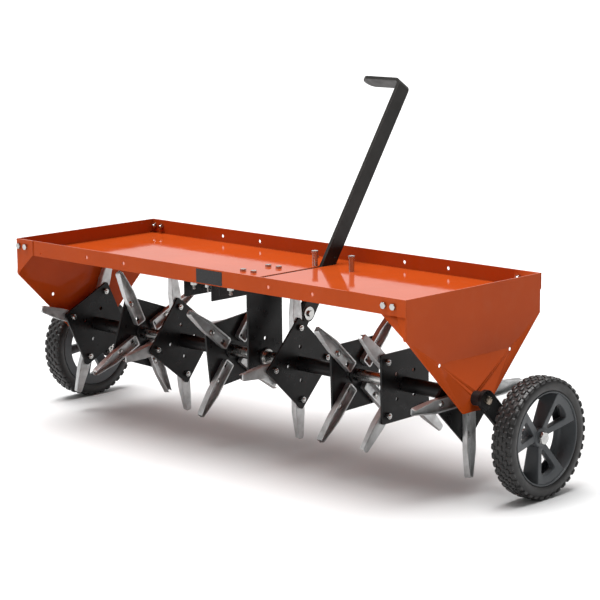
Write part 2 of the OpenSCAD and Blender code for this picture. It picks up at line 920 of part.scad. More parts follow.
gang_tine_nuts(3);  // gang_4_tine_nuts
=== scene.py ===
"""Looks of the tow-behind core aerator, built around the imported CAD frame. Metres, +Z up."""

import math
import random

import bmesh
import bpy
from mathutils import Matrix, Vector


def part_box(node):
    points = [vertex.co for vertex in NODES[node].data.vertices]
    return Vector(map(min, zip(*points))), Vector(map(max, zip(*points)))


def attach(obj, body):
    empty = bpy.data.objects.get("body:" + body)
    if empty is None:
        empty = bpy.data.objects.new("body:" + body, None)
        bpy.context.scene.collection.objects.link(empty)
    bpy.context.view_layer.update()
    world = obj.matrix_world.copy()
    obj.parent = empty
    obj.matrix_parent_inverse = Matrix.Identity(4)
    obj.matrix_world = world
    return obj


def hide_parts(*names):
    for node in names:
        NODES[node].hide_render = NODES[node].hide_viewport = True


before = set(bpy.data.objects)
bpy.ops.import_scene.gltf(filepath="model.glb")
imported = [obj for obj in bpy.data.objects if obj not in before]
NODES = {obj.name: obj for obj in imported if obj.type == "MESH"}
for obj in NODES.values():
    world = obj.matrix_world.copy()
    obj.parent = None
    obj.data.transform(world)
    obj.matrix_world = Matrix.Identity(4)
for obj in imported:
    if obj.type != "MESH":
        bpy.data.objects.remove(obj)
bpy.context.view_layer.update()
MM = 0.001
TAU = 2 * math.pi


# ---------- reading the frame ----------

def centre(node):
    """Middle of a CAD node's box."""
    low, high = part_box(node)
    return (low + high) / 2


def islands(node):
    """The separate solids of a CAD node, each a list of its points."""
    mesh = NODES[node].data
    spot = {}
    group = [spot.setdefault(tuple(round(c, 6) for c in v.co), i) for i, v in enumerate(mesh.vertices)]

    def root(i):
        while group[i] != i:
            group[i] = group[group[i]]
            i = group[i]
        return i

    for edge in mesh.edges:
        a, b = root(edge.vertices[0]), root(edge.vertices[1])
        group[max(a, b)] = min(a, b)
    parts = {}
    for i, v in enumerate(mesh.vertices):
        parts.setdefault(root(i), []).append(v.co.copy())
    return [parts[k] for k in sorted(parts)]


def span(points, axis):
    """Lowest and highest value of a list of points along one axis."""
    values = [p[axis] for p in points]
    return min(values), max(values)


def middle(points):
    """Middle of the box of a list of points."""
    return Vector([sum(span(points, axis)) / 2 for axis in range(3)])


# ---------- node materials ----------

class Shader:
    """A material being built: short names for adding nodes and joining them."""

    def __init__(self, name, roughness, metallic=0.0, **fixed):
        self.material = bpy.data.materials.new(name)
        self.material.use_nodes = True
        self.tree = self.material.node_tree
        self.surface = self.tree.nodes["Principled BSDF"]
        self.surface.inputs["Roughness"].default_value = roughness
        self.surface.inputs["Metallic"].default_value = metallic
        for socket, value in fixed.items():
            self.surface.inputs[socket.replace("_", " ")].default_value = value
        self.place = self.tree.nodes.new("ShaderNodeTexCoord").outputs["Object"]

    def join(self, source, socket):
        self.tree.links.new(source, socket)

    def noise(self, scale, detail=4.0, rough=0.55, stretch=None):
        node = self.tree.nodes.new("ShaderNodeTexNoise")
        node.inputs["Scale"].default_value = scale
        node.inputs["Detail"].default_value = detail
        node.inputs["Roughness"].default_value = rough
        place = self.place
        if stretch:
            mapping = self.tree.nodes.new("ShaderNodeMapping")
            mapping.inputs["Scale"].default_value = stretch
            self.join(place, mapping.inputs["Vector"])
            place = mapping.outputs["Vector"]
        self.join(place, node.inputs["Vector"])
        return node.outputs["Fac"]

    def ramp(self, value, *stops):
        node = self.tree.nodes.new("ShaderNodeValToRGB")
        band = node.color_ramp
        while len(band.elements) < len(stops):
            band.elements.new(0.5)
        for element, (at, colour) in zip(band.elements, stops):
            element.position = at
            element.color = (*colour, 1)
        self.join(value, node.inputs["Fac"])
        return node.outputs["Color"]

    def spread(self, value, low, high, start=0.3, end=0.7):
        node = self.tree.nodes.new("ShaderNodeMapRange")
        for socket, number in zip(("From Min", "From Max", "To Min", "To Max"), (start, end, low, high)):
            node.inputs[socket].default_value = number
        self.join(value, node.inputs["Value"])
        return node.outputs["Result"]

    def mix(self, factor, a, b):
        """Two colours mixed by a value; a colour is a source or three plain numbers."""
        node = self.tree.nodes.new("ShaderNodeMix")
        node.data_type = "RGBA"
        self.join(factor, node.inputs["Factor"])
        for socket, colour in (("A", a), ("B", b)):
            target = [s for s in node.inputs if s.name == socket and s.type == "RGBA"][0]
            if isinstance(colour, tuple):
                target.default_value = (*colour, 1)
            else:
                self.join(colour, target)
        return [s for s in node.outputs if s.type == "RGBA"][0]

    def edges(self, width):
        """1 along sharp edges and 0 on open faces."""
        bevel = self.tree.nodes.new("ShaderNodeBevel")
        bevel.samples = 4
        bevel.inputs["Radius"].default_value = width
        flat = self.tree.nodes.new("ShaderNodeNewGeometry").outputs["Normal"]
        dot = self.tree.nodes.new("ShaderNodeVectorMath")
        dot.operation = "DOT_PRODUCT"
        self.join(bevel.outputs["Normal"], dot.inputs[0])
        self.join(flat, dot.inputs[1])
        return self.spread(dot.outputs["Value"], 1.0, 0.0, 0.75, 0.98)

    def colour(self, source):
        self.join(source, self.surface.inputs["Base Color"])

    def roughness(self, source):
        self.join(source, self.surface.inputs["Roughness"])

    def bump(self, height, strength, distance):
        node = self.tree.nodes.new("ShaderNodeBump")
        node.inputs["Strength"].default_value = strength
        node.inputs["Distance"].default_value = distance
        self.join(height, node.inputs["Height"])
        self.join(node.outputs["Normal"], self.surface.inputs["Normal"])


def orange_paint():
    """Glossy powder coat: orange peel, faint mottling, a little dust, lighter worn edges."""
    s = Shader("orange_powder_coat", 0.08, Specular_IOR_Level=0.07)
    mottle = s.ramp(s.noise(6.0), (0.3, (0.405, 0.056, 0.0080)), (0.7, (0.455, 0.065, 0.0098)))
    dust = s.spread(s.noise(26.0, 8.0), 0.0, 0.035, 0.52, 0.78)
    dusty = s.mix(dust, mottle, (0.42, 0.26, 0.17))
    s.colour(s.mix(s.spread(s.edges(0.0010), 0.0, 0.35, 0.2, 1.0), dusty, (0.66, 0.20, 0.07)))
    s.roughness(s.spread(s.noise(35.0, 6.0), 0.04, 0.11))
    s.bump(s.noise(420.0, 2.0), 0.04, 0.0002)
    return s.material


def black_paint():
    """Black powder coat with a fine grain and paler scuffed edges."""
    s = Shader("black_powder_coat", 0.32, Specular_IOR_Level=0.2)
    mottle = s.ramp(s.noise(14.0), (0.3, (0.0050, 0.0048, 0.0052)), (0.7, (0.0100, 0.0096, 0.0098)))
    specks = s.spread(s.noise(260.0, 3.0), 0.0, 0.35, 0.62, 0.80)
    speckled = s.mix(specks, mottle, (0.030, 0.028, 0.026))
    s.colour(s.mix(s.spread(s.edges(0.0008), 0.0, 0.5, 0.2, 1.0), speckled, (0.085, 0.080, 0.076)))
    s.roughness(s.spread(s.noise(40.0, 6.0), 0.24, 0.42))
    s.bump(s.noise(650.0, 2.0), 0.12, 0.0002)
    return s.material


def handle_paint():
    """Wrinkle-textured black coat of the handle."""
    s = Shader("black_texture_coat", 0.36, Specular_IOR_Level=0.2)
    mottle = s.ramp(s.noise(18.0), (0.3, (0.012, 0.0112, 0.0100)), (0.7, (0.021, 0.0195, 0.0175)))
    # Painted highlight: the handle's edges are mixed towards a pale grey to stand in for the bright
    # highlight along them.
    s.colour(s.mix(s.spread(s.edges(0.0010), 0.0, 0.7, 0.2, 1.0), mottle, (0.20, 0.19, 0.175)))
    s.roughness(s.spread(s.noise(60.0, 6.0), 0.28, 0.46))
    s.bump(s.noise(900.0, 3.0), 0.14, 0.0002)
    return s.material


def zinc(name, low, mid, high):
    """Zinc plate in three shades, brushed a little along X."""
    s = Shader(name, 0.25, 1.0)
    tint = s.ramp(s.noise(30.0, 4.0), (0.25, low), (0.5, mid), (0.8, high))
    s.colour(s.mix(s.spread(s.edges(0.0006), 0.0, 0.4, 0.2, 1.0), tint, (0.82, 0.81, 0.79)))
    s.roughness(s.spread(s.noise(90.0, 5.0), 0.16, 0.32))
    s.bump(s.noise(300.0, 3.0, stretch=(1, 14, 14)), 0.05, 0.0002)
    return s.material


def tine_steel():
    """Dull stamped and plated steel, streaked and slightly brown."""
    s = Shader("tine_steel", 0.42, 0.8)
    tint = s.ramp(s.noise(34.0, 6.0), (0.28, (0.33, 0.33, 0.325)), (0.52, (0.50, 0.505, 0.505)),
                  (0.75, (0.62, 0.63, 0.63)))
    stain = s.spread(s.noise(55.0, 8.0, 0.7), 0.0, 0.5, 0.58, 0.80)
    stained = s.mix(stain, tint, (0.22, 0.18, 0.15))
    # Painted highlight: sharp edges are mixed towards pale steel to stand in for the bright rims of light
    # along the tine walls.
    s.colour(s.mix(s.spread(s.edges(0.0012), 0.0, 0.7, 0.2, 1.0), stained, (0.80, 0.80, 0.78)))
    s.roughness(s.spread(s.noise(120.0, 6.0), 0.28, 0.50))
    s.bump(s.noise(240.0, 5.0), 0.22, 0.0003)
    return s.material


def tyre_rubber():
    """Dark rubber, a little dusty and brown in the tread."""
    s = Shader("tyre_rubber", 0.42, Specular_IOR_Level=0.45)
    tint = s.ramp(s.noise(30.0, 6.0), (0.3, (0.0080, 0.0076, 0.0076)), (0.72, (0.0175, 0.0158, 0.0152)))
    s.colour(s.mix(s.spread(s.edges(0.0014), 0.0, 0.4, 0.2, 1.0), tint, (0.046, 0.041, 0.037)))
    s.roughness(s.spread(s.noise(80.0, 5.0), 0.30, 0.52))
    s.bump(s.noise(520.0, 4.0), 0.25, 0.0004)
    return s.material


def rim_plastic():
    """Slate-grey moulded plastic with a fine grain."""
    s = Shader("rim_plastic", 0.42, Specular_IOR_Level=0.4)
    tint = s.ramp(s.noise(12.0, 5.0), (0.3, (0.056, 0.061, 0.066)), (0.7, (0.072, 0.077, 0.082)))
    # Painted highlight: edges, lips and window rims are mixed towards a light grey to stand in for their
    # edge highlights.
    s.colour(s.mix(s.spread(s.edges(0.0010), 0.0, 0.45, 0.2, 1.0), tint, (0.24, 0.25, 0.26)))
    s.roughness(s.spread(s.noise(70.0, 5.0), 0.34, 0.52))
    s.bump(s.noise(800.0, 3.0), 0.20, 0.0003)
    return s.material


def dark_nylon():
    """Black bushing plastic."""
    s = Shader("dark_nylon", 0.45, Specular_IOR_Level=0.3)
    s.colour(s.ramp(s.noise(40.0), (0.3, (0.010, 0.010, 0.011)), (0.7, (0.020, 0.020, 0.021))))
    s.roughness(s.spread(s.noise(120.0), 0.34, 0.55))
    s.bump(s.noise(700.0, 3.0), 0.2, 0.0003)
    return s.material


def label_film():
    """Plain black label film."""
    s = Shader("label_film", 0.25, Specular_IOR_Level=0.3)
    s.colour(s.ramp(s.noise(20.0), (0.3, (0.006, 0.006, 0.007)), (0.7, (0.012, 0.012, 0.013))))
    s.roughness(s.spread(s.noise(60.0), 0.18, 0.32))
    s.bump(s.noise(200.0), 0.06, 0.0002)
    return s.material


def pale_floor():
    """Plain studio floor."""
    s = Shader("studio_floor", 0.9, Specular_IOR_Level=0.1)
    s.colour(s.ramp(s.noise(3.0), (0.3, (0.67, 0.67, 0.67)), (0.7, (0.69, 0.69, 0.69))))
    return s.material


ORANGE = orange_paint()
BLACK = black_paint()
HANDLE = handle_paint()
ZINC = zinc("zinc_plate", (0.36, 0.36, 0.36), (0.47, 0.47, 0.46), (0.56, 0.54, 0.51))
AGED = zinc("aged_zinc_plate", (0.22, 0.18, 0.14), (0.34, 0.28, 0.22), (0.46, 0.40, 0.33))
TINE = tine_steel()
RUBBER = tyre_rubber()
RIM = rim_plastic()
NYLON = dark_nylon()
LABEL = label_film()


# ---------- mesh pieces ----------

def piece(name, bm, material, body, slot, *replaced, smooth=35):
    """A finished mesh piece that rides on a body and may stand for CAD nodes."""
    mesh = bpy.data.meshes.new(name)
    bmesh.ops.recalc_face_normals(bm, faces=bm.faces)
    bm.to_mesh(mesh)
    bm.free()
    obj = bpy.data.objects.new(name, mesh)
    bpy.context.scene.collection.objects.link(obj)
    mesh.materials.append(material)
    for polygon in mesh.polygons:
        polygon.use_smooth = True
    mesh.set_sharp_from_angle(angle=math.radians(smooth))
    even = obj.modifiers.new("even_normals", "WEIGHTED_NORMAL")
    even.keep_sharp = True
    even.weight = 80
    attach(obj, body)
    if replaced:
        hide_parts(*replaced)
    return obj


def frame_at(origin, along, toward=None):
    """A matrix at a point whose Z runs along one direction, and X towards another if it is given."""
    z = Vector(along).normalized()
    x = Vector(toward) if toward is not None else z.orthogonal()
    x = (x - z * x.dot(z)).normalized()
    turn = Matrix((x, z.cross(x), z)).transposed().to_4x4()
    return Matrix.Translation(origin) @ turn


def ringed(bm, place, rows, count, closed=True):
    """A surface through rings of points. A row is an (r, z) pair, or a function of the angle giving one."""
    loops = []
    for row in rows:
        loop = []
        for i in range(count):
            a = TAU * i / count
            r, z = row(a) if callable(row) else row
            loop.append(bm.verts.new(place @ Vector((r * math.cos(a), r * math.sin(a), z))))
        loops.append(loop)
    pairs = list(zip(loops, loops[1:]))
    if closed:
        pairs.append((loops[-1], loops[0]))
    for lower, upper in pairs:
        for i in range(count):
            j = (i + 1) % count
            bm.faces.new((lower[i], lower[j], upper[j], upper[i]))
    if not closed:
        bm.faces.new(list(reversed(loops[0])))
        bm.faces.new(loops[-1])


def hexagon(bm, place, corner_r, height, bore=0.0):
    """Hexagon head or nut with chamfered corners, standing on the place's XY plane, a corner along its X."""
    flat = corner_r * math.cos(math.pi / 6)
    cut = 0.11 * height

    def edge(a, most):
        return min(flat / math.cos(a % (TAU / 6) - TAU / 12), most)

    rows = [lambda a: (edge(a, flat * 1.05), 0.0),
            lambda a: (edge(a, corner_r), cut * 0.8),
            lambda a: (edge(a, corner_r), height - cut * 1.6),
            lambda a: (edge(a, flat * 1.04), height - 0.35 * cut),
            lambda a: (flat * 0.95, height)]
    if bore:
        rows += [(bore * 1.12, height), (bore, height - cut), (bore, cut), (bore * 1.12, 0.0)]
    ringed(bm, place, rows, 36, closed=bool(bore))


def thread(bm, place, r, length, start):
    """Bolt shank: plain up to start, then thread ridges and a chamfered tip."""
    pitch = 0.31 * r
    rows = [(r * 0.97, 0.0), (r * 0.97, max(start, 0.1 * pitch))]
    turns = max(2, int((length - start - 0.6 * pitch) / pitch))
    step = (length - start - 0.6 * pitch) / turns
    for k in range(turns):
        rows.append((r * 0.86, start + (k + 0.15) * step))
        rows.append((r, start + (k + 0.65) * step))
    rows += [(r * 0.84, length - 0.15 * pitch), (r * 0.78, length)]
    ringed(bm, place, rows, 24, closed=False)


def ring(bm, place, outer, inner, height, soft):
    """Flat washer or short tube with rounded rims."""
    c = soft * min(height, outer - inner)
    ringed(bm, place, [(inner + c * 0.5, 0), (outer - c, 0), (outer, c), (outer, height - c),
                       (outer - c, height), (inner + c * 0.5, height), (inner, height - c * 0.5),
                       (inner, c * 0.5)], 56)


def dome(bm, place, r, height):
    """Low round bolt head with a small upright rim."""
    rows = [(r * 0.97, 0.0), (r, height * 0.12)]
    for d in (8, 24, 40, 56, 72, 85):
        t = math.radians(d)
        rows.append((r * math.cos(t), height * (0.14 + 0.86 * math.sin(t))))
    ringed(bm, place, rows, 32, closed=False)


# ---------- fasteners, measured from the CAD solids ----------

def measured(points, axis):
    """Centre line, largest and smallest radius, and the ends of the wide and of the narrow stretch."""
    mid = middle(points)
    others = [k for k in range(3) if k != axis]

    def radius(p):
        return math.hypot(p[others[0]] - mid[others[0]], p[others[1]] - mid[others[1]])

    far = max(points, key=radius)
    most = radius(far)
    wide = [p for p in points if radius(p) > 0.97 * most]
    narrow = [p for p in points if radius(p) <= 0.97 * most]
    least = min((radius(p) for p in narrow if radius(p) > 0.05 * most), default=0.0)
    toward = far - mid
    toward[axis] = 0
    return mid, most, least, span(wide, axis), span(points, axis), toward


def at_height(mid, axis, value):
    """The point of a centre line at a given height."""
    p = mid.copy()
    p[axis] = value
    return p


def bolts(node, body, axis, plain, round_head=False, material=None):
    """The bolts of a CAD node, each head chamfered or domed and each shank threaded towards its tip."""
    bm = bmesh.new()
    for points in islands(node):
        mid, most, least, (low, high), (start, end), toward = measured(points, axis)
        up = Vector((0, 0, 0))
        head_first = low - start < end - high
        up[axis] = -1 if head_first else 1
        seat, tip = (high, end) if head_first else (low, start)
        if round_head:
            seat, top = (max(low, high), start) if head_first else (min(low, high), end)
            dome(bm, frame_at(at_height(mid, axis, seat), up), most, abs(top - seat))
        else:
            hexagon(bm, frame_at(at_height(mid, axis, seat), up, toward), most, high - low)
        length = abs(tip - seat)
        thread(bm, frame_at(at_height(mid, axis, seat), -up), least, length, plain * length)
    return piece(node + "_detail", bm, material or ZINC, body, "zinc_plate", node, smooth=28)


def nuts(node, body, axis):
    """The nuts of a CAD node, chamfered and bored."""
    bm = bmesh.new()
    for points in islands(node):
        mid, most, least, (low, high), _, toward = measured(points, axis)
        up = Vector((0, 0, 0))
        up[axis] = 1
        hexagon(bm, frame_at(at_height(mid, axis, low), up, toward), most, high - low, least)
    return piece(node + "_detail", bm, ZINC, body, "zinc_plate", node, smooth=28)


def rings(node, body, axis, material=None, slot="zinc_plate", soft=0.25):
    """The washers, spacers or bushings of a CAD node, with rounded rims; a flange stays a flange."""
    bm = bmesh.new()
    for points in islands(node):
        mid = middle(points)
        others = [k for k in range(3) if k != axis]

        def radius(p):
            return math.hypot(p[others[0]] - mid[others[0]], p[others[1]] - mid[others[1]])

        steps = sorted({round(p[axis], 6) for p in points})
        bore = min(radius(p) for p in points)
        up = Vector((0, 0, 0))
        up[axis] = 1
        for low, high in zip(steps, steps[1:]):
            outer = min(max(radius(p) for p in points if abs(p[axis] - end) < 2e-6) for end in (low, high))
            ring(bm, frame_at(at_height(mid, axis, low), up), outer, bore, high - low, soft)
    return piece(node + "_detail", bm, material or ZINC, body, slot, node, smooth=40)


# ---------- softened CAD shapes ----------

def cad_copy(node):
    """A CAD node's mesh without slivers, and without faces of many sides, which can cross a hole."""
    bm = bmesh.new()
    bm.from_mesh(NODES[node].data)
    bmesh.ops.remove_doubles(bm, verts=bm.verts, dist=0.002 * MM)
    bmesh.ops.dissolve_limit(bm, angle_limit=math.radians(0.5), verts=bm.verts, edges=bm.edges)
    bmesh.ops.triangulate(bm, faces=[f for f in bm.faces if len(f.verts) > 4])
    return bm


def round_over(bm, width, segments, chosen=None, sharper=35):
    """Rounds the sharp edges of a mesh, or only those that chosen picks by their two ends."""
    edges = []
    for e in bm.edges:
        if len(e.link_faces) == 2 and e.calc_face_angle(0) > math.radians(sharper):
            if chosen is None or chosen(e.verts[0].co, e.verts[1].co):
                edges.append(e)
    bmesh.ops.bevel(bm, geom=edges, offset=width, segments=segments, profile=0.5,
                    affect="EDGES", clamp_overlap=True, miter_outer="ARC")


def softened(node, width, material, body, slot, segments=2):
    """A CAD node's own shape with its sharp edges rounded over, as cut and folded metal has."""
    bm = cad_copy(node)
    round_over(bm, width, segments)
    return piece(node + "_finish", bm, material, body, slot, node, smooth=40)


# ---------- tray ----------

def folded_tray():
    """The tray pan: long folds at the foot of both walls, and rolled-over rims."""
    bm = cad_copy("tray_pan")
    low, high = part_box("tray_pan")

    def long_edge(a, b):
        return abs(a.x - b.x) > 0.5

    def outer_fold(a, b):
        side = min(abs(a.y - low.y), abs(a.y - high.y)) < 0.1 * MM
        return long_edge(a, b) and side and abs(a.z - low.z) < 0.1 * MM

    round_over(bm, 2.6 * MM, 4, outer_fold)
    round_over(bm, 0.5 * MM, 2, sharper=60)
    return piece("tray_pan_finish", bm, ORANGE, "frame", "orange_paint", "tray_pan", smooth=40)


def folded_end(node):
    """An end panel: folds where its flanges turn, and softened cut edges."""
    bm = cad_copy(node)
    low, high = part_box(node)
    outer_x = low.x if low.x < 0 else high.x

    def corner(a, b):
        side = min(abs(a.y - low.y), abs(a.y - high.y)) < 0.1 * MM
        upright = abs(a.z - b.z) > 0.03
        return side and upright and abs(a.x - outer_x) < 0.1 * MM and abs(b.x - outer_x) < 0.1 * MM

    round_over(bm, 2.6 * MM, 4, corner)
    round_over(bm, 0.5 * MM, 2, sharper=60)
    return piece(node + "_finish", bm, ORANGE, "frame", "orange_paint", node, smooth=40)


def label():
    """Plain black label."""
    softened("label_plate", 0.15 * MM, LABEL, "frame", "label_film")


def posts():
    """Tie-down posts with a rounded head and a collar ring."""
    bm = bmesh.new()
    for points in islands("tie_down_posts"):
        mid = middle(points)
        low, high = span(points, 2)
        head = max(math.hypot(p.x - mid.x, p.y - mid.y) for p in points)
        shaft = min(math.hypot(p.x - mid.x, p.y - mid.y) for p in points)
        neck = min(p.z for p in points if math.hypot(p.x - mid.x, p.y - mid.y) > 0.97 * head) - low
        tall = high - low
        c = 0.8 * MM
        ringed(bm, frame_at(at_height(mid, 2, low), (0, 0, 1)), [
            (shaft, 0), (shaft, neck), (head - c, neck), (head, neck + c), (head, tall - c),
            (head - 0.3 * c, tall - 0.3 * c), (head - c, tall), (0.3 * head, tall)], 40, closed=False)
    piece("tie_down_posts_detail", bm, ZINC, "frame", "zinc_plate", "tie_down_posts", smooth=30)


# ---------- wheels ----------

# SPOKE_SPREAD is half a spoke's width at the barrel, in degrees, as arc takes it.
TREAD_DEPTH = 3.1 * MM
BLOCKS_A_ROW = 40
BLOCK_POINTS = 12
SPOKES = 3
FIRST_SPOKE = math.radians(41)
SPOKE_SPREAD = 27.5
WINDOW_DEPTH = 14 * MM


def wheel_place(side):
    """A matrix at a wheel's centre, whose Z points outward and whose X is the row's +Y."""
    mid = centre("tyre_" + side)
    out = 1 if mid.x > 0 else -1
    return Matrix.Translation(mid) @ Matrix(((0, 0, out), (1, 0, 0), (0, 1, 0))).to_4x4()


def tyre(side):
    """Tyre carcass with smooth bulged sidewalls and staggered rows of rounded blocks."""
    place = wheel_place(side)
    low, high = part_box("tyre_" + side)
    rim_low, rim_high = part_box("rim_" + side)
    outer = (high.z - low.z) / 2
    inner = (rim_high.z - rim_low.z) / 2
    half = (high.x - low.x) / 2
    bm = bmesh.new()
    crown = outer - TREAD_DEPTH
    side_wall = [(inner, 0.80), (inner + 1.5 * MM, 0.91), (inner + 4 * MM, 0.955), (inner + 8 * MM, 0.995),
                 (inner + 13 * MM, 1.0), (crown - 8 * MM, 0.97), (crown - 3.5 * MM, 0.90),
                 (crown - 1 * MM, 0.78)]
    profile = [(r, half * w) for r, w in side_wall]
    profile += [(crown, half * 0.5), (crown + 0.3 * MM, 0.0), (crown, -half * 0.5)]
    profile += [(r, -half * w) for r, w in reversed(side_wall)]
    ringed(bm, place, profile, 144)
    rng = random.Random(7)
    rows = [(-0.80, 0.0, 0.86), (-0.42, 0.5, 1.0), (0.0, 0.0, 1.0), (0.42, 0.5, 1.0), (0.80, 0.0, 0.86)]
    for across, stagger, tall in rows:
        for k in range(BLOCKS_A_ROW):
            a = TAU * (k + stagger) / BLOCKS_A_ROW + rng.uniform(-0.004, 0.004)
            block(bm, place, a, across * half, crown, outer, tall, half, rng)
    return piece("tyre_" + side + "_tread", bm, RUBBER, "wheel_" + side, "tyre_rubber", "tyre_" + side,
                 smooth=50)


def block(bm, place, angle, across, crown, outer, tall, half, rng):
    """One tread block: a rounded pillow that leans over the shoulder in the outer rows."""
    shoulder = abs(across) > 0.6 * half
    long_way = (7.2 if shoulder else 6.6) * MM * rng.uniform(0.94, 1.04)
    wide_way = (5.8 if shoulder else 4.9) * MM
    drop = 1.9 * MM if shoulder else 0.0
    top = crown + (outer - crown) * tall
    levels = [(1.0, crown - drop - 1.5 * MM), (0.97, top - drop * 0.5 - 1.9 * MM),
              (0.86, top - drop * 0.45 - 0.85 * MM), (0.62, top - drop * 0.42 - 0.2 * MM),
              (0.32, top - drop * 0.4)]
    loops = []
    for size, r in levels:
        loop = []
        for i in range(BLOCK_POINTS):
            t = TAU * i / BLOCK_POINTS
            u = abs(math.cos(t)) ** 0.6 * math.copysign(1, math.cos(t)) * long_way * size
            v = abs(math.sin(t)) ** 0.6 * math.copysign(1, math.sin(t)) * wide_way * size
            over = across + v
            sink = 1.7 * MM * max(0.0, abs(over) / half - 0.72) / 0.28
            a = angle + u / crown
            limit = min(abs(over), half * 0.985)
            loop.append(bm.verts.new(place @ Vector((
                (r - sink) * math.cos(a), (r - sink) * math.sin(a), math.copysign(limit, over)))))
        loops.append(loop)
    for lower, upper in zip(loops, loops[1:]):
        for i in range(BLOCK_POINTS):
            j = (i + 1) % BLOCK_POINTS
            bm.faces.new((lower[i], lower[j], upper[j], upper[i]))
    bm.faces.new(loops[-1])


def arc(radius, a0, a1, steps):
    """Points along an arc, angles in degrees."""
    return [Vector((radius * math.cos(t), radius * math.sin(t))) for t in
            (math.radians(a0 + (a1 - a0) * i / steps) for i in range(steps + 1))]


def rounded(points, radii, steps):
    """A closed outline with its corners rounded, each by its own radius."""
    out = []
    n = len(points)
    for i, (p, r) in enumerate(zip(points, radii)):
        before, after = points[i - 1] - p, points[(i + 1) % n] - p
        turn = before.angle(after)
        reach = min(r / math.tan(turn / 2), 0.48 * before.length, 0.48 * after.length)
        start, end = p + before.normalized() * reach, p + after.normalized() * reach
        for k in range(steps + 1):
            t = k / steps
            out.append(start * (1 - t) ** 2 + p * 2 * t * (1 - t) + end * t ** 2)
    return out


def plate_between(bm, place, outline, hole, levels, hole_levels):
    """A flat shape with a hole, made thick: levels are (inset, height) pairs from face to face."""
    def loop_at(points, inset, height, sign):
        n = len(points)
        loop = []
        for i, p in enumerate(points):
            along = (points[(i + 1) % n] - points[i - 1]).normalized()
            inward = Vector((-along.y, along.x)) * sign
            q = p + inward * inset
            loop.append(bm.verts.new(place @ Vector((q.x, q.y, height(q)))))
        return loop

    def turning(points):
        return 1 if sum(p.cross(q) for p, q in zip(points, points[1:] + points[:1])) > 0 else -1

    ends = [[], []]
    for points, kind, steps in ((outline, 1, levels), (hole, -1, hole_levels)):
        sign = turning(points) * kind
        loops = [loop_at(points, inset, height, sign) for inset, height in steps]
        for lower, upper in zip(loops, loops[1:]):
            for i in range(len(points)):
                j = (i + 1) % len(points)
                bm.faces.new((lower[i], lower[j], upper[j], upper[i]))
        ends[0].append(loops[0])
        ends[1].append(loops[-1])
    for group in ends:
        edges = []
        for loop in group:
            for i, v in enumerate(loop):
                w = loop[(i + 1) % len(loop)]
                edges.append(bm.edges.get((v, w)) or bm.edges.new((v, w)))
        bmesh.ops.triangle_fill(bm, use_beauty=True, edges=edges)


def rim(side):
    """Moulded rim: deep barrel with lips, hub, and three wedge spokes that dish in to the hub."""
    place = wheel_place(side)
    tyre_low, tyre_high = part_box("tyre_" + side)
    low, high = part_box("rim_" + side)
    outer = (high.z - low.z) / 2
    mid_x = (tyre_low.x + tyre_high.x) / 2
    front = max(abs(high.x), abs(low.x)) - abs(mid_x)
    back = min(abs(high.x), abs(low.x)) - abs(mid_x)
    barrel_back = -(tyre_high.x - tyre_low.x) / 2 + 2 * MM
    wall = 4.2 * MM
    bm = bmesh.new()
    ringed(bm, place, [
        (outer, barrel_back + 1 * MM), (outer, front - 1.2 * MM), (outer - 0.7 * MM, front - 0.2 * MM),
        (outer - 1.8 * MM, front), (outer - 2.9 * MM, front - 0.4 * MM),
        (outer - 3.4 * MM, front - 1.6 * MM),
        (outer - wall, front - 4 * MM), (outer - wall - 1.2 * MM, barrel_back + 11 * MM),
        (outer - wall - 3.5 * MM, barrel_back + 6.5 * MM), (outer - wall - 8 * MM, barrel_back + 4.2 * MM),
        (outer - 21 * MM, barrel_back + 3.4 * MM), (outer - 22.2 * MM, barrel_back + 2.6 * MM),
        (outer - 22.4 * MM, barrel_back + 1.2 * MM), (outer - 21.2 * MM, barrel_back + 0.3 * MM),
        (outer - 1 * MM, barrel_back)], 144)
    hub_r = 20.5 * MM
    hub_front = hub_face() - abs(mid_x)
    bore = 8.1 * MM
    ringed(bm, place, [
        (bore, back), (hub_r - 3 * MM, back), (hub_r - 1.5 * MM, back + 1 * MM), (hub_r, 0.0),
        (hub_r, hub_front - 3 * MM), (hub_r - 0.8 * MM, hub_front - 1 * MM), (hub_r - 2.4 * MM, hub_front),
        (bore, hub_front)], 72)
    for k in range(SPOKES):
        spoke(bm, place, k, outer - wall, hub_front, front, barrel_back, hub_r)
    return piece("rim_" + side + "_moulding", bm, RIM, "wheel_" + side, "rim_plastic", "rim_" + side,
                 smooth=45)


def hub_face():
    """How far from the machine's middle a rim's hub ends, just inside its bolt's head."""
    heads = [measured(points, 0)[3] for points in islands("wheel_bolts")]
    return min(abs(a) for pair in heads for a in pair) - 0.3 * MM


